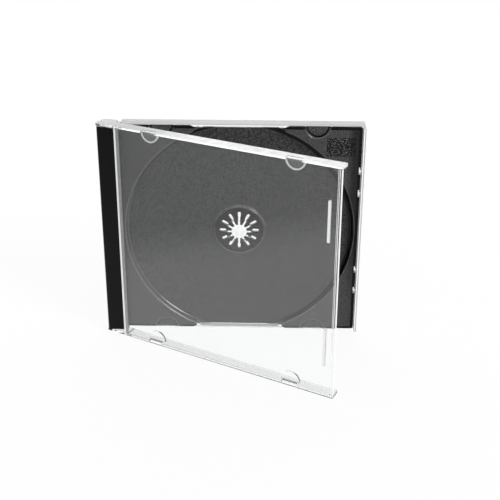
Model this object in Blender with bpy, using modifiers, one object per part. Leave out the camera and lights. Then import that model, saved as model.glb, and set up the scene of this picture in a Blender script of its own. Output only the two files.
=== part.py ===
"""Hinged storage case for one disc: clear lid, clear rear shell and dark disc tray, standing half open.

The case is modelled lying on its back: x runs from the hinge side to the free edge, y along the
hinge and z from the back to the front. Empties then stand it upright on its long edge and swing
the lid open.
"""

import math

import bmesh
import bpy

# Overall case
CASE_WIDTH = 0.142
CASE_HEIGHT = 0.1246
CASE_DEPTH = 0.0103
PANEL_WALL = 0.0012
OPEN_ANGLE = math.radians(27)

# Fits between the three mouldings
CLEARANCE = 0.0003
LID_SEAT_GAP = 0.0003
SHEET_GAP = 0.0006

# Hinge line, measured from the spine face and from the back face
HINGE_FROM_SPINE = 0.0049
HINGE_FROM_BACK = 0.0049
PIN_RADIUS = 0.0013

# Lid
RAIL_WALL = 0.0012
RAIL_DEPTH = 0.0072
RAIL_CORNER_RADIUS = 0.0012
LID_EDGE_GAP = 0.0011
ARM_FROM_SPINE = 0.0005
ARM_TAIL_WIDTH = 0.0090
ARM_FROM_BACK = 0.0004
ARM_TAIL_RADIUS = 0.0042
ARM_CORNER_RADIUS = 0.0010
ARM_FRONT_RADIUS = 0.0022
LIP_WIDTH = 0.0013
LIP_HEIGHT = 0.0017
EDGE_RIB_WIDTH = 0.0006
EDGE_RIB_HEIGHT = 0.0012
EDGE_RIB_FROM_WALL = 0.0004
SHORT_RIB_LENGTH = 0.0215
SHORT_RIB_RADIUS = 0.0007
SHORT_RIB_INSET = 0.0057
SHORT_RIB_FROM_MIDDLE = 0.0341
TAB_RADIUS = 0.0054
TAB_THICKNESS = 0.0010
TAB_FROM_PANEL = 0.0021
TAB_FROM_HUB = 0.0415
WINDOW_WIDTH = 0.0084
WINDOW_MARGIN = 0.0002

# Rear shell
SIDE_WALL = 0.0012
LEDGE_WALL = 0.0012
LEDGE_DEPTH = 0.0039
RIM_WIDTH = 0.0016
EAR_LENGTH = 0.0100
ARM_BAY_PLAY = 0.0030
SHELL_CORNER_RADIUS = 0.0008
NOTCH_WIDTH = 0.0160
NOTCH_SLANT = 0.0020
NUB_RADIUS = 0.0007
NUB_CENTRE_IN_WALL = 0.0002

# Disc tray
TRAY_WALL = 0.0012
STRIP_SET_BACK = 0.0003
STRIP_EDGE_FROM_SPINE = 0.0121
STRIP_EDGE_BEVEL = 0.0010
STRIP_FROM_SPINE = 0.0002
STRIP_SPINE_BEVEL = 0.0004
TRAY_CORNER_RADIUS = 0.0010
BORDER_WIDTH = 0.0017
BORDER_WALL = 0.0010
BORDER_STEP = 0.0007
HUB_FROM_SPINE = 0.0754
WELL_RADIUS = 0.0623
WELL_DRAFT = 0.0004
WELL_FILLET = 0.0008
FINGER_GAP_WIDTH = 0.0490
GAP_SLANT = 0.0042
GAP_FLOOR_FROM_SIDE = 0.0030
FLOOR_LIP = 0.0004
CORNER_PANEL_WIDTH = 0.0150
CORNER_PANEL_HEIGHT = 0.0105
CORNER_PANEL_DEPTH = 0.0004
CORNER_PANEL_FROM_RIGHT = 0.0037
CORNER_PANEL_FROM_TOP = 0.0060
DENT_CLEARANCE = 0.0008
DENT_DEPTH = 0.0012
NICK_LENGTH = 0.0040
NICK_DEPTH = 0.0010
OUTER_NICK_FROM_MIDDLE = 0.0360
INNER_NICK_FROM_MIDDLE = 0.0230

# Hub rosette
RING_RADIUS = 0.0143
RING_HEIGHT = 0.0006
ROSETTE_RADIUS = 0.00735
ROSETTE_HEIGHT = 0.0027
ROSETTE_ROUND = 0.0009
ROSETTE_WALL = 0.0010
HUB_HOLE_RADIUS = 0.0042
FINGER_COUNT = 12
SLOT_REACH = 0.0109
SLOT_WIDTH = 0.0016
SLOT_TIP_WIDTH = 0.0011

# Fineness of round shapes, reach of cutters past a face, depth of a joined piece in its carrier
WELL_STEPS = 96
ROUND_STEPS = 32
CORNER_STEPS = 6
OVERSHOOT = 0.004
ROOT = 0.0002
MERGE = 0.000001
SHARP_ANGLE = math.radians(30)

# Plastics
CLEAR_COLOUR = (0.93, 0.95, 0.96)
CLEAR_ROUGHNESS = 0.05
DARK_COLOUR = (0.045, 0.047, 0.05)
DARK_ROUGHNESS = 0.35

# Sizes that follow from the ones above
MIDDLE_Y = CASE_HEIGHT / 2
PANEL_INNER_Z = CASE_DEPTH - PANEL_WALL
SIDE_WALL_DEPTH = PANEL_INNER_Z - LID_SEAT_GAP
RAIL_REAR_Z = CASE_DEPTH - RAIL_DEPTH
RIM_DEPTH = RAIL_REAR_Z - LID_SEAT_GAP
NOTCH_FLOOR_Z = RIM_DEPTH + CLEARANCE
LID_EDGE_FROM_SPINE = STRIP_EDGE_FROM_SPINE + LID_EDGE_GAP
ARM_BAY_LENGTH = ARM_FROM_SPINE + ARM_TAIL_WIDTH + ARM_BAY_PLAY
SHELL_SIDE_Y = RAIL_WALL + CLEARANCE
LEDGE_INNER_Y = SHELL_SIDE_Y + LEDGE_WALL
SIDE_INNER_X = CASE_WIDTH - SIDE_WALL
TRAY_SIDE_Y = SHELL_SIDE_Y
TRAY_SKIRT_Y = LEDGE_INNER_Y + CLEARANCE
TRAY_LEFT_X = SIDE_WALL + CLEARANCE
TRAY_RIGHT_X = SIDE_INNER_X - CLEARANCE
TRAY_FROM_BACK = PANEL_WALL + SHEET_GAP
FLOOR_TOP_Z = TRAY_FROM_BACK + TRAY_WALL
BORDER_UNDER_Z = LEDGE_DEPTH + CLEARANCE
BORDER_TOP_Z = BORDER_UNDER_Z + BORDER_WALL
LAND_FROM_BACK = BORDER_TOP_Z + BORDER_STEP
LAND_UNDER_Z = LAND_FROM_BACK - TRAY_WALL
DENT_FROM_BACK = LAND_FROM_BACK - DENT_DEPTH
STRIP_FROM_BACK = CASE_DEPTH - STRIP_SET_BACK
STRIP_UNDER_Z = STRIP_FROM_BACK - TRAY_WALL
EAR_DEPTH = STRIP_UNDER_Z - CLEARANCE
GAP_SIDE = FINGER_GAP_WIDTH / 2
LEDGE_END = GAP_SIDE - GAP_SLANT / 2
TAB_CENTRES = (HUB_FROM_SPINE - TAB_FROM_HUB, HUB_FROM_SPINE + TAB_FROM_HUB)
TAB_FRONT_Z = PANEL_INNER_Z - TAB_FROM_PANEL
TAB_REAR_Z = TAB_FRONT_Z - TAB_THICKNESS
DENT_RADIUS = TAB_RADIUS + DENT_CLEARANCE
NICK_PLACES = (
    -OUTER_NICK_FROM_MIDDLE, -INNER_NICK_FROM_MIDDLE, INNER_NICK_FROM_MIDDLE, OUTER_NICK_FROM_MIDDLE
)


def clear_scene():
    for item in list(bpy.data.objects):
        bpy.data.objects.remove(item, do_unlink=True)


def make_collection(name):
    made = bpy.data.collections.new(name)
    bpy.context.scene.collection.children.link(made)
    return made


def make_material(name, colour, roughness, transmission):
    made = bpy.data.materials.new(name)
    made.use_nodes = True
    shader = made.node_tree.nodes["Principled BSDF"]
    shader.inputs["Base Color"].default_value = (*colour, 1)
    shader.inputs["Roughness"].default_value = roughness
    shader.inputs["Metallic"].default_value = 0
    shader.inputs["Transmission Weight"].default_value = transmission
    return made


def make_empty(name, collection, parent, location, rotation):
    made = bpy.data.objects.new(name, None)
    made.location = location
    made.rotation_euler = rotation
    made.parent = parent
    collection.objects.link(made)
    return made


class Frame:
    """A parent empty and the shift that puts case coordinates into it."""

    def __init__(self, empty, shift):
        self.empty = empty
        self.shift = shift

    def hold(self, item):
        item.parent = self.empty
        item.location = self.shift
        return item


def show_as_cutter(item):
    item.hide_render = True
    item.display_type = "WIRE"
    return item


def mesh_object(name, mesh, frame, collection):
    item = bpy.data.objects.new(name, mesh)
    collection.objects.link(item)
    return frame.hold(item)


def box_mesh(name, low, high):
    shape = bmesh.new()
    bmesh.ops.create_cube(shape, size=1)
    for vertex in shape.verts:
        for axis in range(3):
            share = vertex.co[axis] + 0.5
            vertex.co[axis] = low[axis] + share * (high[axis] - low[axis])
    mesh = bpy.data.meshes.new(name)
    shape.to_mesh(mesh)
    shape.free()
    return mesh


def curve_mesh(name, points, low, high, plane):
    """Extrude a closed outline from low to high; plane 'xy' extrudes along z, plane 'xz' along y."""
    curve = bpy.data.curves.new(name, "CURVE")
    curve.dimensions = "2D"
    curve.fill_mode = "BOTH"
    curve.extrude = (high - low) / 2
    spline = curve.splines.new("POLY")
    spline.points.add(len(points) - 1)
    for point, (across, along) in zip(spline.points, points):
        point.co = (across, along, 0, 1)
    spline.use_cyclic_u = True
    item = bpy.data.objects.new(name, curve)
    bpy.context.scene.collection.objects.link(item)
    middle = (low + high) / 2
    if plane == "xz":
        item.rotation_euler = (math.pi / 2, 0, 0)
        item.location = (0, middle, 0)
    else:
        item.location = (0, 0, middle)
    bpy.context.view_layer.update()
    seen = item.evaluated_get(bpy.context.evaluated_depsgraph_get())
    mesh = bpy.data.meshes.new_from_object(seen)
    mesh.transform(item.matrix_world)
    bpy.data.objects.remove(item, do_unlink=True)
    bpy.data.curves.remove(curve)
    shape = bmesh.new()
    shape.from_mesh(mesh)
    bmesh.ops.remove_doubles(shape, verts=shape.verts, dist=MERGE)
    bmesh.ops.recalc_face_normals(shape, faces=shape.faces)
    shape.to_mesh(mesh)
    shape.free()
    mesh.name = name
    return mesh


def arc(centre, radius, start, end, steps):
    """Points along an arc, from start to end degrees."""
    found = []
    for step in range(steps + 1):
        turn = math.radians(start + (end - start) * step / steps)
        found.append((centre[0] + radius * math.cos(turn), centre[1] + radius * math.sin(turn)))
    return found


def rounded_rectangle(low, high, radii):
    """Outline with its own radius at the low-low, high-low, high-high and low-high corners."""
    corners = (
        ((low[0], low[1]), (1, 1), 180),
        ((high[0], low[1]), (-1, 1), 270),
        ((high[0], high[1]), (-1, -1), 0),
        ((low[0], high[1]), (1, -1), 90),
    )
    points = []
    for (corner, inward, start), radius in zip(corners, radii):
        if radius == 0:
            points.append(corner)
            continue
        centre = (corner[0] + inward[0] * radius, corner[1] + inward[1] * radius)
        points += arc(centre, radius, start, start + 90, CORNER_STEPS)
    return points


def turned_object(name, profile, centre, steps, frame, collection):
    """Turn a profile of (radius, z) points, which runs down its outer side, about z at a centre."""
    mesh = bpy.data.meshes.new(name)
    edges = [(index, index + 1) for index in range(len(profile) - 1)]
    mesh.from_pydata([(radius, 0, height) for radius, height in profile], edges, [])
    item = mesh_object(name, mesh, frame, collection)
    item.location = [shift + place for shift, place in zip(frame.shift, (*centre, 0))]
    item.rotation_euler = (0, 0, math.pi / steps)
    screw = item.modifiers.new("turn", "SCREW")
    screw.axis = "Z"
    screw.steps = steps
    screw.render_steps = steps
    screw.use_merge_vertices = True
    screw.merge_threshold = MERGE
    return item


def boolean(target, tool, operation):
    change = target.modifiers.new(tool.name, "BOOLEAN")
    change.operation = operation
    change.solver = "EXACT"
    change.object = tool
    return target


def cylinder_mesh(name, centre, radius, low, high, axis, steps):
    shape = bmesh.new()
    bmesh.ops.create_cone(
        shape, cap_ends=True, segments=steps, radius1=radius, radius2=radius, depth=high - low
    )
    mesh = bpy.data.meshes.new(name)
    shape.to_mesh(mesh)
    shape.free()
    for vertex in mesh.vertices:
        first, second, along = vertex.co
        along += (low + high) / 2
        if axis == "y":
            vertex.co = (centre[0] + first, along, centre[1] + second)
        else:
            vertex.co = (centre[0] + first, centre[1] + second, along)
    if axis == "y":
        mesh.flip_normals()
    return mesh


def both_sides(low, high):
    """The stretch of y from low to high and its mirror image across the case's middle."""
    return (("low", low, high), ("high", CASE_HEIGHT - high, CASE_HEIGHT - low))


class Moulding:
    """One moulded piece: a first body, then tools that are added to it or cut from it."""

    def __init__(self, name, mesh, material, frame):
        self.name = name
        self.frame = frame
        self.item = mesh_object(name, mesh, frame, PARTS)
        self.item.data.materials.append(material)

    def take(self, label, mesh, operation):
        tool = mesh_object(f"{self.name}.{label}", mesh, self.frame, CUTTERS)
        show_as_cutter(tool)
        boolean(self.item, tool, operation)

    def cut_box(self, label, low, high):
        self.take(label, box_mesh(label, low, high), "DIFFERENCE")

    def add_box(self, label, low, high):
        self.take(label, box_mesh(label, low, high), "UNION")

    def cut_turned(self, label, profile, centre, steps):
        name = f"{self.name}.{label}"
        tool = show_as_cutter(turned_object(name, profile, centre, steps, self.frame, CUTTERS))
        boolean(self.item, tool, "DIFFERENCE")


def lid_side_profile():
    """Side view of a rail with its arm: the tail turns round the pin behind the strip."""
    tail_right = ARM_FROM_SPINE + ARM_TAIL_WIDTH
    points = arc(
        (ARM_FROM_SPINE + ARM_TAIL_RADIUS, ARM_FROM_BACK + ARM_TAIL_RADIUS), ARM_TAIL_RADIUS,
        180, 270, 2 * CORNER_STEPS,
    )
    points += arc(
        (tail_right - ARM_CORNER_RADIUS, ARM_FROM_BACK + ARM_CORNER_RADIUS), ARM_CORNER_RADIUS,
        270, 360, CORNER_STEPS,
    )
    points += arc(
        (tail_right + ARM_CORNER_RADIUS, RAIL_REAR_Z - ARM_CORNER_RADIUS), ARM_CORNER_RADIUS,
        180, 90, CORNER_STEPS,
    )
    points += arc(
        (CASE_WIDTH - RAIL_CORNER_RADIUS, RAIL_REAR_Z + RAIL_CORNER_RADIUS), RAIL_CORNER_RADIUS,
        270, 360, CORNER_STEPS,
    )
    points.append((CASE_WIDTH, CASE_DEPTH))
    points += arc(
        (ARM_FROM_SPINE + ARM_FRONT_RADIUS, CASE_DEPTH - ARM_FRONT_RADIUS), ARM_FRONT_RADIUS,
        90, 180, CORNER_STEPS,
    )
    return points


def build_lid(frame, material):
    """Flat clear front with two rails, hinge arms with pins, booklet tabs and inner ribs."""
    profile = curve_mesh("lid", lid_side_profile(), 0, CASE_HEIGHT, "xz")
    lid = Moulding("lid", profile, material, frame)
    inner_high = CASE_HEIGHT - RAIL_WALL
    lid.cut_box(
        "inside_behind_lip", (-OVERSHOOT, RAIL_WALL, -OVERSHOOT),
        (CASE_WIDTH + OVERSHOOT, inner_high, PANEL_INNER_Z - LIP_HEIGHT),
    )
    lid.cut_box(
        "inside", (LID_EDGE_FROM_SPINE + LIP_WIDTH, RAIL_WALL, -OVERSHOOT),
        (CASE_WIDTH + OVERSHOOT, inner_high, PANEL_INNER_Z),
    )
    lid.cut_box(
        "strip_opening", (-OVERSHOOT, RAIL_WALL, -OVERSHOOT),
        (LID_EDGE_FROM_SPINE, inner_high, CASE_DEPTH + OVERSHOOT),
    )
    rib_x = SIDE_INNER_X - EDGE_RIB_FROM_WALL - EDGE_RIB_WIDTH
    lid.add_box(
        "free_edge_rib", (rib_x, RAIL_WALL - ROOT, PANEL_INNER_Z - EDGE_RIB_HEIGHT),
        (rib_x + EDGE_RIB_WIDTH, inner_high + ROOT, PANEL_INNER_Z + ROOT),
    )
    rib_centre = (CASE_WIDTH - SHORT_RIB_INSET, PANEL_INNER_Z)
    for side, place in (("low", -SHORT_RIB_FROM_MIDDLE), ("high", SHORT_RIB_FROM_MIDDLE)):
        outline = arc(rib_centre, SHORT_RIB_RADIUS, 180, 360, 2 * CORNER_STEPS)
        outline.append((outline[-1][0], PANEL_INNER_Z + ROOT))
        outline.append((outline[0][0], PANEL_INNER_Z + ROOT))
        start = MIDDLE_Y + place - SHORT_RIB_LENGTH / 2
        mesh = curve_mesh("rib", outline, start, start + SHORT_RIB_LENGTH, "xz")
        lid.take(f"short_rib_{side}", mesh, "UNION")
    for side, rail_low, rail_high in both_sides(0, RAIL_WALL):
        add_tabs_and_pin(lid, side, rail_low, rail_high)
    return lid.item


def add_tabs_and_pin(lid, side, rail_low, rail_high):
    rail_inner = rail_high if side == "low" else rail_low
    facing = 1 if side == "low" else -1
    buried = rail_inner - facing * ROOT
    for number, tab_x in enumerate(TAB_CENTRES):
        start = (0, 180) if side == "low" else (180, 360)
        outline = arc((tab_x, rail_inner), TAB_RADIUS, *start, 2 * CORNER_STEPS)
        outline.append((outline[-1][0], buried))
        outline.append((outline[0][0], buried))
        mesh = curve_mesh("tab", outline, TAB_REAR_Z, TAB_FRONT_Z, "xy")
        lid.take(f"tab_{side}_{number}", mesh, "UNION")
        lid.cut_box(
            f"window_{side}_{number}",
            (tab_x - WINDOW_WIDTH / 2, rail_low - ROOT, TAB_FRONT_Z + WINDOW_MARGIN),
            (tab_x + WINDOW_WIDTH / 2, rail_high + ROOT, PANEL_INNER_Z - WINDOW_MARGIN),
        )
    tip = rail_inner + facing * (CLEARANCE + LEDGE_WALL)
    mesh = cylinder_mesh(
        "pin", (HINGE_FROM_SPINE, HINGE_FROM_BACK), PIN_RADIUS, min(tip, buried), max(tip, buried), "y",
        ROUND_STEPS,
    )
    lid.take(f"pin_{side}", mesh, "UNION")


def build_shell(frame, material):
    """Clear pan: flat back, full side walls, low ledges that carry the tray, ears with pin holes."""
    corners = [SHELL_CORNER_RADIUS] * 4
    outline = rounded_rectangle((0, 0), (CASE_WIDTH, CASE_HEIGHT), corners)
    block = curve_mesh("shell", outline, 0, SIDE_WALL_DEPTH, "xy")
    shell = Moulding("rear_shell", block, material, frame)
    beyond = CASE_WIDTH + OVERSHOOT
    top = SIDE_WALL_DEPTH + OVERSHOOT
    shell.cut_box(
        "inside", (SIDE_WALL, LEDGE_INNER_Y, PANEL_WALL), (SIDE_INNER_X, CASE_HEIGHT - LEDGE_INNER_Y, top)
    )
    shell.cut_box(
        "ledge_tops", (EAR_LENGTH, -OVERSHOOT, LEDGE_DEPTH), (SIDE_INNER_X, CASE_HEIGHT + OVERSHOOT, top)
    )
    shell.cut_box(
        "hinge_side_tops", (-OVERSHOOT, -OVERSHOOT, EAR_DEPTH),
        (EAR_LENGTH + OVERSHOOT, CASE_HEIGHT + OVERSHOOT, top),
    )
    for side, low, high in both_sides(-OVERSHOOT, SHELL_SIDE_Y):
        shell.cut_box(f"rail_seat_{side}", (-OVERSHOOT, low, RIM_DEPTH), (beyond, high, top))
    for side, low, high in both_sides(-OVERSHOOT, SHELL_SIDE_Y):
        shell.cut_box(f"arm_bay_{side}", (-OVERSHOOT, low, -OVERSHOOT), (ARM_BAY_LENGTH, high, top))
    shell.cut_box(
        "finger_gap", (HUB_FROM_SPINE - LEDGE_END, RIM_WIDTH, PANEL_WALL),
        (HUB_FROM_SPINE + LEDGE_END, CASE_HEIGHT - RIM_WIDTH, top),
    )
    for number, tab_x in enumerate(TAB_CENTRES):
        half = NOTCH_WIDTH / 2
        outline = [
            (tab_x - half, NOTCH_FLOOR_Z), (tab_x + half, NOTCH_FLOOR_Z),
            (tab_x + half + NOTCH_SLANT, top), (tab_x - half - NOTCH_SLANT, top),
        ]
        for side, low, high in both_sides(-OVERSHOOT, LEDGE_INNER_Y + OVERSHOOT):
            mesh = curve_mesh("notch", outline, low, high, "xz")
            shell.take(f"tab_notch_{side}_{number}", mesh, "DIFFERENCE")
    hinge = (HINGE_FROM_SPINE, HINGE_FROM_BACK)
    for side, low, high in both_sides(-OVERSHOOT, LEDGE_INNER_Y + OVERSHOOT):
        mesh = cylinder_mesh("hole", hinge, PIN_RADIUS + CLEARANCE, low, high, "y", ROUND_STEPS)
        shell.take(f"pin_hole_{side}", mesh, "DIFFERENCE")
    for number, place in enumerate(NICK_PLACES):
        centre = (SIDE_INNER_X + NUB_CENTRE_IN_WALL, MIDDLE_Y + place)
        mesh = cylinder_mesh(
            "nub", centre, NUB_RADIUS, PANEL_WALL - ROOT, LAND_UNDER_Z, "z", ROUND_STEPS // 2
        )
        shell.take(f"nub_{number}", mesh, "UNION")
    return shell.item


def well_profile():
    """Cutter for the disc well: drafted wall, floor, raised ring and rosette left standing."""
    top = STRIP_FROM_BACK + OVERSHOOT
    ring_top = FLOOR_TOP_Z + RING_HEIGHT
    rosette_top = ring_top + ROSETTE_HEIGHT
    foot = WELL_RADIUS - WELL_DRAFT
    points = [(0, top), (WELL_RADIUS, top), (WELL_RADIUS, LAND_FROM_BACK)]
    points += arc((foot - WELL_FILLET, FLOOR_TOP_Z + WELL_FILLET), WELL_FILLET, 0, -90, CORNER_STEPS // 2)
    points += [(RING_RADIUS + RING_HEIGHT, FLOOR_TOP_Z), (RING_RADIUS, ring_top)]
    points += [(ROSETTE_RADIUS, ring_top)]
    dome_centre = (ROSETTE_RADIUS - ROSETTE_ROUND, rosette_top - ROSETTE_ROUND)
    points += arc(dome_centre, ROSETTE_ROUND, 0, 90, CORNER_STEPS // 2)
    points.append((0, rosette_top))
    return points


def hub_underside_profile():
    """Cutter that hollows the rosette and its ring from behind."""
    ring_under = FLOOR_TOP_Z + RING_HEIGHT - TRAY_WALL
    rosette_under = FLOOR_TOP_Z + RING_HEIGHT + ROSETTE_HEIGHT - ROSETTE_WALL
    hollow = ROSETTE_RADIUS - ROSETTE_WALL
    ring_hollow = RING_RADIUS - TRAY_WALL
    return [(0, rosette_under), (hollow, rosette_under), (hollow, ring_under), (ring_hollow, ring_under),
            (ring_hollow, -OVERSHOOT), (0, -OVERSHOOT)]


def hub_outline():
    """Hub hole with the slots that run out from it, each wider where the fingers root in the ring."""
    narrow = SLOT_TIP_WIDTH / 2
    wide = SLOT_WIDTH / 2
    pitch = 360 / FINGER_COUNT
    half_mouth = math.degrees(math.asin(narrow / HUB_HOLE_RADIUS))
    slot = [(ROSETTE_RADIUS, -narrow), (ROSETTE_RADIUS + wide, -wide)]
    slot += arc((SLOT_REACH - wide, 0), wide, -90, 90, CORNER_STEPS)
    slot += [(ROSETTE_RADIUS + wide, wide), (ROSETTE_RADIUS, narrow)]
    slot += arc((0, 0), HUB_HOLE_RADIUS, half_mouth, pitch - half_mouth, CORNER_STEPS // 2)
    outline = []
    for number in range(FINGER_COUNT):
        cosine = math.cos(math.radians(number * pitch))
        sine = math.sin(math.radians(number * pitch))
        outline += [
            (HUB_FROM_SPINE + x * cosine - y * sine, MIDDLE_Y + x * sine + y * cosine)
            for x, y in slot
        ]
    return outline


def tray_side_profile():
    """Side view of the tray before it is hollowed: the strip's cap laps over the spine wall."""
    bevel = STRIP_EDGE_BEVEL
    small = STRIP_SPINE_BEVEL
    return [
        (TRAY_LEFT_X, TRAY_FROM_BACK), (TRAY_RIGHT_X, TRAY_FROM_BACK), (TRAY_RIGHT_X, LAND_FROM_BACK),
        (STRIP_EDGE_FROM_SPINE, LAND_FROM_BACK), (STRIP_EDGE_FROM_SPINE, STRIP_FROM_BACK - bevel),
        (STRIP_EDGE_FROM_SPINE - bevel, STRIP_FROM_BACK), (STRIP_FROM_SPINE + small, STRIP_FROM_BACK),
        (STRIP_FROM_SPINE, STRIP_FROM_BACK - small), (STRIP_FROM_SPINE, STRIP_UNDER_Z),
        (TRAY_LEFT_X, STRIP_UNDER_Z),
    ]


def round_upright_corners(mesh, x, radius):
    """Round the mesh's edges that run along z at one x."""
    shape = bmesh.new()
    shape.from_mesh(mesh)
    upright = []
    for edge in shape.edges:
        first, second = edge.verts
        along_z = abs(first.co.x - second.co.x) < MERGE and abs(first.co.y - second.co.y) < MERGE
        if along_z and abs(first.co.x - x) < MERGE:
            upright.append(edge)
    bmesh.ops.bevel(
        shape, geom=upright, offset=radius, offset_type="OFFSET", segments=CORNER_STEPS, profile=0.5,
        affect="EDGES",
    )
    shape.to_mesh(mesh)
    shape.free()


def build_tray(frame, material):
    """Dark tray: strip along the hinge, raised lands at the corners, round well and rosette."""
    block = curve_mesh("tray", tray_side_profile(), TRAY_SIDE_Y, CASE_HEIGHT - TRAY_SIDE_Y, "xz")
    round_upright_corners(block, TRAY_RIGHT_X, TRAY_CORNER_RADIUS)
    tray = Moulding("disc_tray", block, material, frame)
    hub = (HUB_FROM_SPINE, MIDDLE_Y)
    beyond = CASE_WIDTH + OVERSHOOT
    top = STRIP_FROM_BACK + OVERSHOOT
    cut_strip(tray)
    cut_underside(tray)
    border = TRAY_SIDE_Y + BORDER_WIDTH
    for side, low, high in both_sides(-OVERSHOOT, border):
        tray.cut_box(f"border_{side}", (STRIP_EDGE_FROM_SPINE, low, BORDER_TOP_Z), (beyond, high, top))
    tray.cut_box(
        "border_right", (TRAY_RIGHT_X - BORDER_WIDTH, -OVERSHOOT, BORDER_TOP_Z),
        (beyond, CASE_HEIGHT + OVERSHOOT, top),
    )
    add_dents(tray)
    cut_finger_gaps(tray)
    tray.cut_turned("well", well_profile(), hub, WELL_STEPS)
    tray.cut_turned("hub_underside", hub_underside_profile(), hub, WELL_STEPS)
    tray.take("hub_opening", curve_mesh("hub_opening", hub_outline(), -OVERSHOOT, top, "xy"), "DIFFERENCE")
    right = TRAY_RIGHT_X - CORNER_PANEL_FROM_RIGHT
    high = CASE_HEIGHT - TRAY_SIDE_Y - CORNER_PANEL_FROM_TOP
    tray.cut_box(
        "corner_panel",
        (right - CORNER_PANEL_WIDTH, high - CORNER_PANEL_HEIGHT, LAND_FROM_BACK - CORNER_PANEL_DEPTH),
        (right, high, top),
    )
    for number, place in enumerate(NICK_PLACES):
        centre = MIDDLE_Y + place
        tray.cut_box(
            f"nick_{number}", (TRAY_RIGHT_X - NICK_DEPTH, centre - NICK_LENGTH / 2, -OVERSHOOT),
            (beyond, centre + NICK_LENGTH / 2, top),
        )
    return tray.item


def cut_strip(tray):
    """Hollow the hinge strip from behind and let its cap reach over the shell's ears."""
    skirt = TRAY_SKIRT_Y + TRAY_WALL
    tray.cut_box(
        "strip_hollow", (TRAY_LEFT_X + TRAY_WALL, skirt, -OVERSHOOT),
        (STRIP_EDGE_FROM_SPINE - TRAY_WALL, CASE_HEIGHT - skirt, STRIP_UNDER_Z),
    )
    for side, low, high in both_sides(-OVERSHOOT, TRAY_SKIRT_Y):
        tray.cut_box(
            f"ear_relief_{side}", (-OVERSHOOT, low, -OVERSHOOT),
            (EAR_LENGTH + CLEARANCE, high, EAR_DEPTH + CLEARANCE),
        )


def cut_underside(tray):
    """Leave walls of even thickness: pockets behind the corner lands, a flange over the ledges."""
    for side, low, high in both_sides(-OVERSHOOT, TRAY_SKIRT_Y):
        for place, start, end in (
            ("left", EAR_LENGTH - OVERSHOOT, HUB_FROM_SPINE - LEDGE_END + CLEARANCE),
            ("right", HUB_FROM_SPINE + LEDGE_END - CLEARANCE, CASE_WIDTH + OVERSHOOT),
        ):
            tray.cut_box(
                f"ledge_relief_{side}_{place}", (start, low, -OVERSHOOT), (end, high, BORDER_UNDER_Z)
            )
    skirt = TRAY_SKIRT_Y + TRAY_WALL
    low = (STRIP_EDGE_FROM_SPINE, skirt, -OVERSHOOT)
    high = (TRAY_RIGHT_X - BORDER_WIDTH - CLEARANCE, CASE_HEIGHT - skirt, LAND_UNDER_Z)
    pocket = mesh_object("disc_tray.pockets", box_mesh("pockets", low, high), tray.frame, CUTTERS)
    core_mesh = cylinder_mesh(
        "core", (HUB_FROM_SPINE, MIDDLE_Y), WELL_RADIUS + TRAY_WALL, -2 * OVERSHOOT,
        STRIP_FROM_BACK, "z", WELL_STEPS,
    )
    core = mesh_object("disc_tray.pocket_core", core_mesh, tray.frame, CUTTERS)
    show_as_cutter(pocket)
    show_as_cutter(core)
    boolean(pocket, core, "DIFFERENCE")
    boolean(tray.item, pocket, "DIFFERENCE")


def add_dents(tray):
    """Half-moon recesses for the lid's tabs, with their own floor behind them."""
    for number, tab_x in enumerate(TAB_CENTRES):
        for side in ("low", "high"):
            rail_inner = RAIL_WALL if side == "low" else CASE_HEIGHT - RAIL_WALL
            edge = TRAY_SIDE_Y + ROOT if side == "low" else CASE_HEIGHT - TRAY_SIDE_Y - ROOT
            turn = (0, 180) if side == "low" else (180, 360)
            outline = arc((tab_x, edge), DENT_RADIUS + TRAY_WALL, *turn, 2 * CORNER_STEPS)
            floor_low = DENT_FROM_BACK - TRAY_WALL
            mesh = curve_mesh("dent", outline, floor_low, LAND_UNDER_Z + ROOT, "xy")
            tray.take(f"dent_floor_{side}_{number}", mesh, "UNION")
            mesh = cylinder_mesh(
                "recess", (tab_x, rail_inner), DENT_RADIUS, DENT_FROM_BACK, STRIP_FROM_BACK + OVERSHOOT, "z",
                ROUND_STEPS,
            )
            tray.take(f"dent_{side}_{number}", mesh, "DIFFERENCE")


def cut_finger_gaps(tray):
    """Open the well at the top and bottom edges, where a finger lifts the disc."""
    inside_well = MIDDLE_Y - (WELL_RADIUS - GAP_SIDE)
    for side, low, high in both_sides(-OVERSHOOT, inside_well):
        tray.cut_box(
            f"gap_{side}", (HUB_FROM_SPINE - GAP_SIDE, low, FLOOR_TOP_Z + FLOOR_LIP),
            (HUB_FROM_SPINE + GAP_SIDE, high, STRIP_FROM_BACK + OVERSHOOT),
        )
    wide = GAP_SIDE + GAP_SLANT / 2
    narrow = GAP_SIDE - GAP_SLANT / 2
    for side in ("low", "high"):
        outline = [
            (HUB_FROM_SPINE - wide, -OVERSHOOT), (HUB_FROM_SPINE + wide, -OVERSHOOT),
            (HUB_FROM_SPINE + wide, TRAY_SIDE_Y), (HUB_FROM_SPINE + narrow, GAP_FLOOR_FROM_SIDE),
            (HUB_FROM_SPINE - narrow, GAP_FLOOR_FROM_SIDE), (HUB_FROM_SPINE - wide, TRAY_SIDE_Y),
        ]
        if side == "high":
            outline = [(x, CASE_HEIGHT - y) for x, y in reversed(outline)]
        mesh = curve_mesh("gap_edge", outline, -OVERSHOOT, STRIP_FROM_BACK + OVERSHOOT, "xy")
        tray.take(f"gap_edge_{side}", mesh, "DIFFERENCE")


def shade(item):
    item.data.shade_smooth()
    item.data.set_sharp_from_angle(angle=SHARP_ANGLE)


clear_scene()
PARTS = make_collection("disc_case")
CUTTERS = make_collection("disc_case_cutters")

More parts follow.
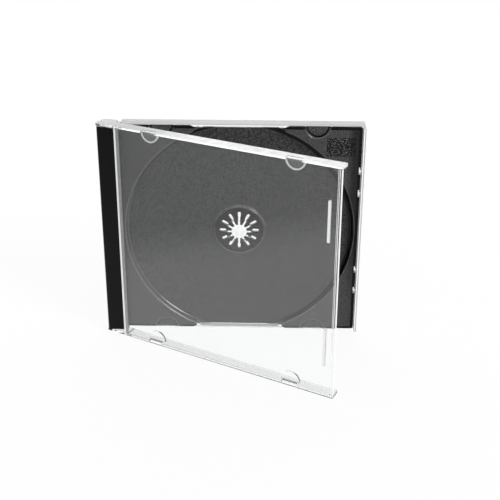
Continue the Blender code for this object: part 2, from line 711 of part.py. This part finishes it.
stand = make_empty(
    "stand", PARTS, None, (-CASE_WIDTH / 2, PANEL_WALL / 2, 0), (math.pi / 2, 0, 0)
)
hinge_line = make_empty(
    "hinge_line", PARTS, stand, (HINGE_FROM_SPINE, 0, HINGE_FROM_BACK), (0, -OPEN_ANGLE, 0)
)
case_frame = Frame(stand, (0, 0, 0))
lid_frame = Frame(hinge_line, (-HINGE_FROM_SPINE, 0, -HINGE_FROM_BACK))

clear_plastic = make_material("clear_plastic", CLEAR_COLOUR, CLEAR_ROUGHNESS, 1)
dark_plastic = make_material("dark_plastic", DARK_COLOUR, DARK_ROUGHNESS, 0)

shell = build_shell(case_frame, clear_plastic)
tray = build_tray(case_frame, dark_plastic)
lid = build_lid(lid_frame, clear_plastic)
for moulding in (shell, tray, lid):
    shade(moulding)
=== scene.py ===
"""Clear jewel case for one disc with a black tray, standing half open on a white table."""

import math

import bpy
from mathutils import Matrix, Vector


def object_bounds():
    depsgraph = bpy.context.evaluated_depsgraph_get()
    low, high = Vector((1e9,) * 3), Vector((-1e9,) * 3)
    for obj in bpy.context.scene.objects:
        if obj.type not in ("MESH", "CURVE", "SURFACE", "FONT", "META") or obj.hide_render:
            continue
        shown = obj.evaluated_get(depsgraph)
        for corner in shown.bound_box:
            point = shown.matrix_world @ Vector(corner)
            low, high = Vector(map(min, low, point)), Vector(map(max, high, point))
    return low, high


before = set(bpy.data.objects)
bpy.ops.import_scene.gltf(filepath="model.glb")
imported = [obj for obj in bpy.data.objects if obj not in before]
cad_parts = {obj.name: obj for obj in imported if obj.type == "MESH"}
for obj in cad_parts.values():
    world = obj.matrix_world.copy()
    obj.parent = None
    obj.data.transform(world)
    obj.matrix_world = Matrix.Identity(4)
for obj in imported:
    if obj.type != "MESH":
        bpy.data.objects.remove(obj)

CAD_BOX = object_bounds()


# Camera
# A table-top view from a little above the case, slightly right of its middle. A small shift of the
# frame makes the upright edges lean less, as in a product photograph.

CAMERA_PLACE = (0.0196, -0.4398, 0.2598)
CAMERA_YAW = 0.022
CAMERA_PITCH = -0.367
CAMERA_ROLL = 0.004
SENSOR_WIDTH = 36
LENS = 62.1
FRAME_SHIFT = -0.14
camera_data = bpy.data.cameras.new("camera")
camera_data.sensor_width = SENSOR_WIDTH
camera_data.lens = LENS
camera_data.shift_y = FRAME_SHIFT
camera = bpy.data.objects.new("camera", camera_data)
turn = (
    Matrix.Rotation(CAMERA_YAW, 4, "Z")
    @ Matrix.Rotation(math.pi / 2 + CAMERA_PITCH, 4, "X")
    @ Matrix.Rotation(CAMERA_ROLL, 4, "Z")
)
camera.matrix_world = Matrix.Translation(CAMERA_PLACE) @ turn
bpy.context.scene.collection.objects.link(camera)
bpy.context.scene.camera = camera


# Light
# A pale studio: an even dome that the camera, gloss and clear plastic see as white, one soft lamp
# high on the right in front, and a soft box behind the case that puts a sheen on the clear rails.

DOME_LIGHT = 0.72
LAMP_LIGHT = 1.2
LAMP_SPREAD = math.radians(20)
LAMP_FROM = Vector((0.66, -0.5, 0.54))
SOFT_BOX_LIGHT = 1.3
SOFT_BOX_WIDTH = 0.8
SOFT_BOX_HEIGHT = 0.5
SOFT_BOX_PLACE = Vector((0, 1.0, 0.45))
bpy.context.scene.view_settings.view_transform = "Standard"
world = bpy.data.worlds.new("studio")
bpy.context.scene.world = world
world.use_nodes = True
nodes = world.node_tree.nodes
links = world.node_tree.links
dome = nodes["Background"]
dome.inputs["Color"].default_value = (1, 1, 1, 1)
dome.inputs["Strength"].default_value = DOME_LIGHT
bare = nodes.new("ShaderNodeBackground")
bare.inputs["Color"].default_value = (1, 1, 1, 1)
bare.inputs["Strength"].default_value = 1
rays = nodes.new("ShaderNodeLightPath")
camera_or_gloss = nodes.new("ShaderNodeMath")
camera_or_gloss.operation = "MAXIMUM"
links.new(rays.outputs["Is Camera Ray"], camera_or_gloss.inputs[0])
links.new(rays.outputs["Is Glossy Ray"], camera_or_gloss.inputs[1])
backdrop = nodes.new("ShaderNodeMath")
backdrop.operation = "MAXIMUM"
links.new(camera_or_gloss.outputs["Value"], backdrop.inputs[0])
links.new(rays.outputs["Is Transmission Ray"], backdrop.inputs[1])
sky = nodes.new("ShaderNodeMixShader")
links.new(backdrop.outputs["Value"], sky.inputs["Fac"])
links.new(dome.outputs["Background"], sky.inputs[1])
links.new(bare.outputs["Background"], sky.inputs[2])
links.new(sky.outputs["Shader"], nodes["World Output"].inputs["Surface"])
lamp_data = bpy.data.lights.new("soft_lamp", "SUN")
lamp_data.energy = LAMP_LIGHT
lamp_data.angle = LAMP_SPREAD
lamp = bpy.data.objects.new("soft_lamp", lamp_data)
lamp.rotation_euler = LAMP_FROM.to_track_quat("Z", "Y").to_euler()
bpy.context.scene.collection.objects.link(lamp)
box_data = bpy.data.lights.new("soft_box", "AREA")
box_data.shape = "RECTANGLE"
box_data.size = SOFT_BOX_WIDTH
box_data.size_y = SOFT_BOX_HEIGHT
box_data.energy = SOFT_BOX_LIGHT
soft_box = bpy.data.objects.new("soft_box", box_data)
soft_box.location = SOFT_BOX_PLACE
soft_box.rotation_euler = SOFT_BOX_PLACE.to_track_quat("Z", "Y").to_euler()
bpy.context.scene.collection.objects.link(soft_box)


# Table
# A sheet of white paper. Beyond the left edge of the picture, where the lid's reflection looks, it
# turns pale grey, so that the lid's veil over the tray is darker at its left and at its top.

class Finish:
    """One material in the making, with masks from the places and slopes on its piece."""

    def __init__(self, name):
        self.material = bpy.data.materials.new(name)
        self.material.use_nodes = True
        self.nodes = self.material.node_tree.nodes
        self.links = self.material.node_tree.links
        self.shader = self.nodes["Principled BSDF"]
        coordinates = self.nodes.new("ShaderNodeTexCoord")
        self.place = coordinates.outputs["Object"]
        self.slope = coordinates.outputs["Normal"]
        apart = self.nodes.new("ShaderNodeSeparateXYZ")
        self.links.new(self.place, apart.inputs["Vector"])
        self.x, self.y, self.z = apart.outputs

    def feed(self, socket, value):
        """Gives an input another node's output, or a fixed value."""
        if isinstance(value, bpy.types.NodeSocket):
            self.links.new(value, socket)
        else:
            socket.default_value = value

    def math(self, operation, *given, clamp=False):
        made = self.nodes.new("ShaderNodeMath")
        made.operation = operation
        made.use_clamp = clamp
        for socket, value in zip(made.inputs, given):
            self.feed(socket, value)
        return made.outputs["Value"]

    def largest(self, first, *others):
        for other in others:
            first = self.math("MAXIMUM", first, other)
        return first

    def vector(self, operation, first, second, output="Value"):
        made = self.nodes.new("ShaderNodeVectorMath")
        made.operation = operation
        self.feed(made.inputs[0], first)
        self.feed(made.inputs[1], second)
        return made.outputs[output]

    def within(self, value, middle, half):
        """1 where the value lies less than half away from the middle."""
        return self.math("COMPARE", value, middle, half)

    def rise(self, value, low, high, height=1, shape="SMOOTHSTEP"):
        """From 0 to the height, while the value goes from low to high."""
        made = self.nodes.new("ShaderNodeMapRange")
        made.interpolation_type = shape
        made.inputs["From Min"].default_value = low
        made.inputs["From Max"].default_value = high
        made.inputs["To Max"].default_value = height
        self.links.new(value, made.inputs["Value"])
        return made.outputs["Result"]

    def blend(self, mask, first, second):
        """The first colour where the mask is 0 and the second where it is 1."""
        made = self.nodes.new("ShaderNodeMix")
        made.data_type = "RGBA"
        self.links.new(mask, made.inputs["Factor"])
        self.feed(made.inputs["A"], first)
        self.feed(made.inputs["B"], second)
        return made.outputs["Result"]

    def mix_shaders(self, amount, first, second):
        made = self.nodes.new("ShaderNodeMixShader")
        self.links.new(amount, made.inputs["Fac"])
        self.links.new(first, made.inputs[1])
        self.links.new(second, made.inputs[2])
        return made.outputs["Shader"]

    def show(self, surface):
        self.links.new(surface, self.nodes["Material Output"].inputs["Surface"])


TABLE_HALF_SIZE = 3
TABLE_GAP = 0.0002
PAPER_ROUGHNESS = 0.9
PAPER_SHINE = 0.1
PAPER_WHITE = (1, 1, 1, 1)
PAPER_GREY = (0.62, 0.62, 0.62, 1)
PAPER_GLOW = 0.9
GREY_TOWARDS = (-0.95, -0.3, 0)
GREY_FROM = 0.13
GREY_TO = 0.21
table_height = CAD_BOX[0].z - TABLE_GAP
table_mesh = bpy.data.meshes.new("table")
table_mesh.from_pydata(
    [
        (x * TABLE_HALF_SIZE, y * TABLE_HALF_SIZE, table_height)
        for x, y in ((-1, -1), (1, -1), (1, 1), (-1, 1))
    ],
    [], [(0, 1, 2, 3)],
)
table = bpy.data.objects.new("table", table_mesh)
bpy.context.scene.collection.objects.link(table)
paper = Finish("table_white")
paper.shader.inputs["Roughness"].default_value = PAPER_ROUGHNESS
paper.shader.inputs["Specular IOR Level"].default_value = PAPER_SHINE
out_of_frame = paper.vector("DOT_PRODUCT", paper.place, GREY_TOWARDS)
paper_colour = paper.blend(paper.rise(out_of_frame, GREY_FROM, GREY_TO), PAPER_WHITE, PAPER_GREY)
paper.feed(paper.shader.inputs["Base Color"], paper_colour)
rays = paper.nodes.new("ShaderNodeLightPath")
seen = paper.math("ADD", rays.outputs["Is Camera Ray"], rays.outputs["Is Glossy Ray"])
seen = paper.math("ADD", seen, rays.outputs["Is Transmission Ray"], clamp=True)
white = paper.nodes.new("ShaderNodeEmission")
paper.feed(white.inputs["Color"], paper_colour)
glow = paper.math("MULTIPLY", seen, PAPER_GLOW)
paper.show(paper.mix_shaders(glow, paper.shader.outputs["BSDF"], white.outputs["Emission"]))
table.data.materials.append(paper.material)


# Rear shell
# The clear back of the case, one polystyrene moulding with polished faces. The CAD solid is right,
# so it only takes its plastic: clear faces with a faint flow ripple and very fine wear, and edges,
# walls and rails that look milky, because they scatter the light that runs along the sheet.

FLOW_SCALE = 35
FLOW_DETAIL = 2
HAIR_SCALE = 260
HAIR_DETAIL = 6
HAIR_FROM = 0.45
HAIR_TO = 0.8
POLISHED_ROUGHNESS = 0.01


def moulding_marks():
    """Node group: from a place it makes the roughness of fine wear and the height of a ripple."""
    group = bpy.data.node_groups.new("clear_moulding_marks", "ShaderNodeTree")
    group.interface.new_socket("Place", in_out="INPUT", socket_type="NodeSocketVector")
    group.interface.new_socket("Wear", in_out="INPUT", socket_type="NodeSocketFloat")
    group.interface.new_socket("Roughness", in_out="OUTPUT", socket_type="NodeSocketFloat")
    group.interface.new_socket("Height", in_out="OUTPUT", socket_type="NodeSocketFloat")
    nodes = group.nodes
    links = group.links
    given = nodes.new("NodeGroupInput")
    put = nodes.new("NodeGroupOutput")
    flow = nodes.new("ShaderNodeTexNoise")
    flow.inputs["Scale"].default_value = FLOW_SCALE
    flow.inputs["Detail"].default_value = FLOW_DETAIL
    links.new(given.outputs["Place"], flow.inputs["Vector"])
    links.new(flow.outputs["Fac"], put.inputs["Height"])
    hair = nodes.new("ShaderNodeTexNoise")
    hair.inputs["Scale"].default_value = HAIR_SCALE
    hair.inputs["Detail"].default_value = HAIR_DETAIL
    links.new(given.outputs["Place"], hair.inputs["Vector"])
    worn = nodes.new("ShaderNodeMapRange")
    worn.inputs["From Min"].default_value = HAIR_FROM
    worn.inputs["From Max"].default_value = HAIR_TO
    worn.inputs["To Min"].default_value = POLISHED_ROUGHNESS
    links.new(hair.outputs["Fac"], worn.inputs["Value"])
    links.new(given.outputs["Wear"], worn.inputs["To Max"])
    links.new(worn.outputs["Result"], put.inputs["Roughness"])
    return group


MOULDING_MARKS = moulding_marks()
POLYSTYRENE_IOR = 1.59
CLEAR_TINT = (0.985, 0.992, 0.995, 1)
CLEAR_SHADOW = (0.93, 0.94, 0.945, 1)
MILKY_ROUGHNESS = 0.3
RIPPLE_STRENGTH = 0.15
RIPPLE_DEPTH = 0.0002
EDGE_STARTS = 0.9
EDGE_IS_FULL = 0.5


def edge_mask(finish, panel_front):
    """0 on the panel's faces, and 1 where the plastic shows its edges, walls and rails."""
    facing = finish.math("ABSOLUTE", finish.vector("DOT_PRODUCT", finish.slope, panel_front))
    return finish.rise(facing, EDGE_STARTS, EDGE_IS_FULL, shape="LINEAR")


def clear_plastic(finish, wear, milky_share, milk, sheen):
    """Clear plastic with a share that is milky. Light from the lamps passes the clear share."""
    clear = finish.shader
    clear.inputs["Base Color"].default_value = CLEAR_TINT
    clear.inputs["IOR"].default_value = POLYSTYRENE_IOR
    clear.inputs["Transmission Weight"].default_value = 1
    clear.inputs["Metallic"].default_value = 0
    marks = finish.nodes.new("ShaderNodeGroup")
    marks.node_tree = MOULDING_MARKS
    marks.inputs["Wear"].default_value = wear
    finish.feed(marks.inputs["Place"], finish.place)
    finish.feed(clear.inputs["Roughness"], marks.outputs["Roughness"])
    bump = finish.nodes.new("ShaderNodeBump")
    bump.inputs["Strength"].default_value = RIPPLE_STRENGTH
    bump.inputs["Distance"].default_value = RIPPLE_DEPTH
    finish.feed(bump.inputs["Height"], marks.outputs["Height"])
    finish.feed(clear.inputs["Normal"], bump.outputs["Normal"])
    milky = finish.nodes.new("ShaderNodeBsdfPrincipled")
    milky.inputs["Roughness"].default_value = MILKY_ROUGHNESS
    milky.inputs["Specular IOR Level"].default_value = sheen
    milky.inputs["IOR"].default_value = POLYSTYRENE_IOR
    milky.inputs["Transmission Weight"].default_value = 0
    milky.inputs["Metallic"].default_value = 0
    finish.feed(milky.inputs["Base Color"], milk)
    plastic = finish.mix_shaders(milky_share, clear.outputs["BSDF"], milky.outputs["BSDF"])
    rays = finish.nodes.new("ShaderNodeLightPath")
    clear_share = finish.math("SUBTRACT", 1, milky_share)
    lit_through = finish.math("MULTIPLY", rays.outputs["Is Shadow Ray"], clear_share)
    pass_light = finish.nodes.new("ShaderNodeBsdfTransparent")
    pass_light.inputs["Color"].default_value = CLEAR_SHADOW
    finish.show(finish.mix_shaders(lit_through, plastic, pass_light.outputs["BSDF"]))


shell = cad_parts["rear_shell"]
SHELL_FRONT = (0, -1, 0)
SHELL_WEAR = 0.06
SHELL_EDGE_MILK = 0.75
SHELL_MILK = (0.55, 0.56, 0.57, 1)
SHELL_SHEEN = 0.1
WALL_FRONT_Y = -0.0018
TOP_WALL_FROM = 0.1229
WALL_FRONT_MILK = 0.6
paint = Finish("clear_shell")
in_front = paint.math("LESS_THAN", paint.y, WALL_FRONT_Y)
on_top = paint.math("GREATER_THAN", paint.z, TOP_WALL_FROM)
wall_front = paint.math("MULTIPLY", paint.math("MULTIPLY", in_front, on_top), WALL_FRONT_MILK)
milky_share = paint.math(
    "MULTIPLY_ADD", edge_mask(paint, SHELL_FRONT), SHELL_EDGE_MILK, wall_front, clamp=True
)
clear_plastic(paint, SHELL_WEAR, milky_share, SHELL_MILK, SHELL_SHEEN)
shell.data.materials.clear()
shell.data.materials.append(paint.material)


# Disc tray
# The black polystyrene moulding that holds the disc. Its lands, dents and floor are spark-grained and
# look dark grey, the strip and the border are ungrained and look black, and the corner panel is
# coarser.
# The walls are polished and the rims of the well, the dents and the hub ring are rounded and glossy.
# Shade is painted black in three places: a crescent on the well's floor by its upper right wall, a
# ring just inside each dent's edge, and the lands along the right border.

GRAIN_DETAIL = 2


def spark_grain():
    """Node group: speckle of a given scale, stretched between two levels of a noise."""
    group = bpy.data.node_groups.new("spark_grain", "ShaderNodeTree")
    group.interface.new_socket("Place", in_out="INPUT", socket_type="NodeSocketVector")
    for name in ("Scale", "Low", "High"):
        group.interface.new_socket(name, in_out="INPUT", socket_type="NodeSocketFloat")
    group.interface.new_socket("Grain", in_out="OUTPUT", socket_type="NodeSocketFloat")
    nodes = group.nodes
    links = group.links
    given = nodes.new("NodeGroupInput")
    put = nodes.new("NodeGroupOutput")
    noise = nodes.new("ShaderNodeTexNoise")
    noise.inputs["Detail"].default_value = GRAIN_DETAIL
    links.new(given.outputs["Place"], noise.inputs["Vector"])
    links.new(given.outputs["Scale"], noise.inputs["Scale"])
    spread = nodes.new("ShaderNodeMapRange")
    links.new(given.outputs["Low"], spread.inputs["From Min"])
    links.new(given.outputs["High"], spread.inputs["From Max"])
    links.new(noise.outputs["Fac"], spread.inputs["Value"])
    links.new(spread.outputs["Result"], put.inputs["Grain"])
    return group


SPARK_GRAIN = spark_grain()


def grain(finish, scale, low, high):
    """Speckle on a piece, 0 below the low level of the noise and 1 above the high one."""
    made = finish.nodes.new("ShaderNodeGroup")
    made.node_tree = SPARK_GRAIN
    finish.feed(made.inputs["Place"], finish.place)
    made.inputs["Scale"].default_value = scale
    made.inputs["Low"].default_value = low
    made.inputs["High"].default_value = high
    return made.outputs["Grain"]


HUB_PLACE = Vector((0.0044, 0, 0.0623))
TAB_FROM_HUB = 0.0415
TAB_ROOT_FROM_HUB = 0.0611


def from_nearest_tab(finish, across, up):
    """Distance from the nearest tab's centre, for a place across and up from the hub."""
    across = finish.math("SUBTRACT", finish.math("ABSOLUTE", across), TAB_FROM_HUB)
    up = finish.math("SUBTRACT", finish.math("ABSOLUTE", up), TAB_ROOT_FROM_HUB)
    squares = finish.math("ADD", finish.math("POWER", across, 2), finish.math("POWER", up, 2))
    return finish.math("SQRT", squares)


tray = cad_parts["disc_tray"]
TRAY_FRONT = (0, -1, 0)
ACROSS_AND_UP = (1, 0, 1)
LEVEL_MARGIN = 0.0001
BORDER_FRONT_Y = -0.0046
PANEL_FRONT_Y = -0.0049
FLOOR_SIDE_Y = -0.0036
STRIP_RIGHT_X = -0.0589
# Painted shade: the lands darken towards black by the right border, fading out towards the bottom.
RIGHT_SHADE_FROM_X = 0.0612
RIGHT_SHADE_TO_X = 0.0658
RIGHT_SHADE_STRENGTH = 0.7
RIGHT_SHADE_FROM_HEIGHT = 0.015
RIGHT_SHADE_TO_HEIGHT = 0.06
WALL_SLOPE = 0.93
DENT_RADIUS = 0.0062
DENT_SHADE_WIDTH = 0.0004
WELL_RADIUS = 0.0623
WELL_SHADE_FROM = 0.0611
WELL_SHADE_TO = 0.0622
WELL_SHADE_SHIFT = Vector((0.0007, 0, 0.0005))
HUB_RING_RADIUS = 0.0143
ROUNDING_WIDTH = 0.0009
ROUNDING_HEIGHT = 0.9
BUMP_UNIT = 0.001
GRAIN_HEIGHT = 0.012
FINE_GRAIN = (1500, 0.35, 0.65)
COARSE_GRAIN = (1700, 0.52, 0.68)
BLACK_AND_PAINTED_SHADE = (0.002, 0.002, 0.002, 1)
RIM_GLOSS = (0.13, 0.13, 0.133, 1)
LAND_DARK = (0.025, 0.0255, 0.026, 1)
LAND_LIGHT = (0.1, 0.1, 0.102, 1)
FLOOR_DARK = (0.016, 0.0165, 0.017, 1)
FLOOR_LIGHT = (0.07, 0.07, 0.072, 1)
PANEL_DARK = (0.003, 0.003, 0.003, 1)
PANEL_LIGHT = (0.17, 0.17, 0.172, 1)
TRAY_SHINE = 0.15
WALL_COAT_ROUGHNESS = 0.16
GRAINED_ROUGHNESS = 0.5
PLAIN_ROUGHNESS = 0.3
RIM_ROUGHNESS_LESS = 0.25
paint = Finish("black_tray")
shader = paint.shader
shader.inputs["Specular IOR Level"].default_value = TRAY_SHINE
shader.inputs["Coat Roughness"].default_value = WALL_COAT_ROUGHNESS
shader.inputs["Coat IOR"].default_value = POLYSTYRENE_IOR
on_level = paint.vector("MULTIPLY", paint.place, ACROSS_AND_UP, output="Vector")
from_hub = paint.vector("DISTANCE", on_level, HUB_PLACE)
from_low_left = paint.vector("DISTANCE", on_level, HUB_PLACE - WELL_SHADE_SHIFT)
from_high_right = paint.vector("DISTANCE", on_level, HUB_PLACE + WELL_SHADE_SHIFT)
dent_distance = from_nearest_tab(
    paint, paint.math("SUBTRACT", paint.x, HUB_PLACE.x), paint.math("SUBTRACT", paint.z, HUB_PLACE.z)
)
border = paint.within(paint.y, BORDER_FRONT_Y, LEVEL_MARGIN)
strip = paint.math("LESS_THAN", paint.x, STRIP_RIGHT_X + LEVEL_MARGIN)
hub = paint.math("LESS_THAN", from_hub, HUB_RING_RADIUS - ROUNDING_WIDTH)
# Painted shade: a black ring just inside the edge of each dent.
painted_dent_shade = paint.within(dent_distance, DENT_RADIUS - DENT_SHADE_WIDTH, DENT_SHADE_WIDTH)
# Painted shadow: a black crescent on the well's floor along its upper right wall. The wall's coat and
# the rims' gloss are kept off it.
well_shade = paint.math(
    "MULTIPLY", paint.math("GREATER_THAN", from_low_left, WELL_SHADE_FROM),
    paint.math("LESS_THAN", from_high_right, WELL_SHADE_TO),
)
# Painted shade along the right border of the lands, blended towards black.
painted_right_shade = paint.math(
    "MULTIPLY", paint.rise(paint.x, RIGHT_SHADE_FROM_X, RIGHT_SHADE_TO_X, RIGHT_SHADE_STRENGTH),
    paint.rise(paint.z, RIGHT_SHADE_FROM_HEIGHT, RIGHT_SHADE_TO_HEIGHT),
)
# The ungrained black of the border, the strip and the hub, together with the painted shade of the
# well, the dents and the right border.
plain_and_painted_shade = paint.largest(border, strip, hub, painted_dent_shade, well_shade, painted_right_shade)
panel = paint.within(paint.y, PANEL_FRONT_Y, LEVEL_MARGIN)
on_floor = paint.math("GREATER_THAN", paint.y, FLOOR_SIDE_Y)
facing = paint.math("ABSOLUTE", paint.vector("DOT_PRODUCT", paint.slope, TRAY_FRONT))
wall = paint.math("LESS_THAN", facing, WALL_SLOPE)
half_rounding = ROUNDING_WIDTH / 2
well_rim = paint.within(from_hub, WELL_RADIUS + half_rounding, half_rounding)
ring_rim = paint.within(from_hub, HUB_RING_RADIUS - half_rounding, half_rounding)
dent_top = paint.within(dent_distance, DENT_RADIUS + half_rounding, half_rounding)
not_shaded = paint.math("SUBTRACT", 1, well_shade)
gloss = paint.math("MULTIPLY", paint.largest(well_rim, ring_rim, dent_top), not_shaded)
fine_grain = grain(paint, *FINE_GRAIN)
coarse_grain = grain(paint, *COARSE_GRAIN)
land_colour = paint.blend(fine_grain, LAND_DARK, LAND_LIGHT)
floor_colour = paint.blend(fine_grain, FLOOR_DARK, FLOOR_LIGHT)
panel_colour = paint.blend(coarse_grain, PANEL_DARK, PANEL_LIGHT)
grained = paint.blend(panel, paint.blend(on_floor, land_colour, floor_colour), panel_colour)
colour = paint.blend(plain_and_painted_shade, grained, BLACK_AND_PAINTED_SHADE)
paint.feed(shader.inputs["Base Color"], paint.blend(gloss, colour, RIM_GLOSS))
paint.feed(shader.inputs["Metallic"], gloss)
roughness = paint.math(
    "MULTIPLY_ADD", paint.largest(plain_and_painted_shade, wall), PLAIN_ROUGHNESS - GRAINED_ROUGHNESS, GRAINED_ROUGHNESS
)
roughness = paint.math("MULTIPLY_ADD", gloss, -RIM_ROUGHNESS_LESS, roughness, clamp=True)
paint.feed(shader.inputs["Roughness"], roughness)
paint.feed(shader.inputs["Coat Weight"], paint.math("MULTIPLY", wall, not_shaded))
well_rise = paint.rise(from_hub, WELL_RADIUS, WELL_RADIUS + ROUNDING_WIDTH, ROUNDING_HEIGHT)
dent_rise = paint.rise(dent_distance, DENT_RADIUS, DENT_RADIUS + ROUNDING_WIDTH, ROUNDING_HEIGHT)
ring_fall = paint.rise(from_hub, HUB_RING_RADIUS, HUB_RING_RADIUS - ROUNDING_WIDTH, ROUNDING_HEIGHT)
rounding = paint.math("ADD", well_rise, paint.math("ADD", dent_rise, ring_fall))
bump = paint.nodes.new("ShaderNodeBump")
bump.inputs["Strength"].default_value = 1
bump.inputs["Distance"].default_value = BUMP_UNIT
paint.feed(bump.inputs["Height"], paint.math("MULTIPLY_ADD", fine_grain, GRAIN_HEIGHT, rounding))
paint.feed(shader.inputs["Normal"], bump.outputs["Normal"])
tray.data.materials.clear()
tray.data.materials.append(paint.material)


# Lid
# The clear front with its rails, hinge arms, tabs and ribs, one moulding in the same plastic. It looks
# milkiest where it is thick: along both upright edges, in the two short ribs and round the tabs. Low
# down it is seen against the white table and hardly shows.

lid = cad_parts["lid"]
OPEN_ANGLE = math.radians(27)
LID_FRONT = (-math.sin(OPEN_ANGLE), -math.cos(OPEN_ANGLE), 0)
LID_RIGHT = (math.cos(OPEN_ANGLE), -math.sin(OPEN_ANGLE), 0)
HINGE_PLACE = Vector((-0.0661, -0.0043, 0))
HUB_FROM_HINGE = 0.0705
PANEL_INNER_FROM_HINGE = 0.0042
TAB_RADIUS = 0.0054
TAB_RIM = 0.0008
EDGE_TO = 0.0094
LIP_WIDTH = 0.0013
LIP_MILK = 0.5
FREE_EDGE_FROM = 0.1368
SHORT_RIB_FROM_HINGE = 0.1314
SHORT_RIB_HALF_WIDTH = 0.0007
SHORT_RIB_FROM_MIDDLE = 0.0341
SHORT_RIB_HALF_LENGTH = 0.0108
WHITE_FROM_HEIGHT = 0.012
WHITE_TO_HEIGHT = 0.045
LOW_MILK = 0.06
HIGH_MILK = 0.48
ARM_GREY_TO = 0.02
ARM_WHITE_FROM = 0.06
LID_WEAR = 0.08
LID_SHEEN = 0.5
STREAKS = (240, 0.35, 0.6)
MILK_WHITE = (1, 1, 1, 1)
MILK_STREAK = (0.78, 0.79, 0.8, 1)
MILK_AT_ARM = (0.36, 0.37, 0.38, 1)
paint = Finish("clear_lid")
from_hinge = paint.vector("SUBTRACT", paint.place, HINGE_PLACE, output="Vector")
along = paint.vector("DOT_PRODUCT", from_hinge, LID_RIGHT)
outwards = paint.vector("DOT_PRODUCT", from_hinge, LID_FRONT)
above_hub = paint.math("SUBTRACT", paint.z, HUB_PLACE.z)
off_middle = paint.math("ABSOLUTE", above_hub)
behind_panel = paint.math("LESS_THAN", outwards, PANEL_INNER_FROM_HINGE - LEVEL_MARGIN)
between_rails = paint.math("LESS_THAN", off_middle, TAB_ROOT_FROM_HUB)
above_table = paint.rise(paint.z, WHITE_FROM_HEIGHT, WHITE_TO_HEIGHT)
hinge_edge = paint.math("LESS_THAN", along, EDGE_TO)
free_edge = paint.math("GREATER_THAN", along, FREE_EDGE_FROM)
rib = paint.math(
    "MULTIPLY", paint.within(along, SHORT_RIB_FROM_HINGE, SHORT_RIB_HALF_WIDTH),
    paint.within(off_middle, SHORT_RIB_FROM_MIDDLE, SHORT_RIB_HALF_LENGTH),
)
tab_distance = from_nearest_tab(paint, paint.math("SUBTRACT", along, HUB_FROM_HINGE), above_hub)
tab_rim = paint.math("MULTIPLY", paint.within(tab_distance, TAB_RADIUS, TAB_RIM), behind_panel)
high_tab_rim = paint.math("MULTIPLY", tab_rim, above_table)
thick = paint.math(
    "MULTIPLY", paint.largest(hinge_edge, free_edge, rib, high_tab_rim), between_rails
)
lip = paint.within(along, EDGE_TO + LIP_WIDTH / 2, LIP_WIDTH / 2)
edge_milk = paint.math("MULTIPLY_ADD", above_table, HIGH_MILK - LOW_MILK, LOW_MILK)
thick_milk = paint.math("MULTIPLY_ADD", lip, LIP_MILK, thick)
milky_share = paint.math(
    "MULTIPLY_ADD", edge_mask(paint, LID_FRONT), edge_milk, thick_milk, clamp=True
)
streak = paint.largest(grain(paint, *STREAKS), thick)
white = paint.blend(streak, MILK_STREAK, MILK_WHITE)
past_arm = paint.largest(paint.rise(along, ARM_GREY_TO, ARM_WHITE_FROM), thick)
clear_plastic(paint, LID_WEAR, milky_share, paint.blend(past_arm, MILK_AT_ARM, white), LID_SHEEN)
lid.data.materials.clear()
lid.data.materials.append(paint.material)
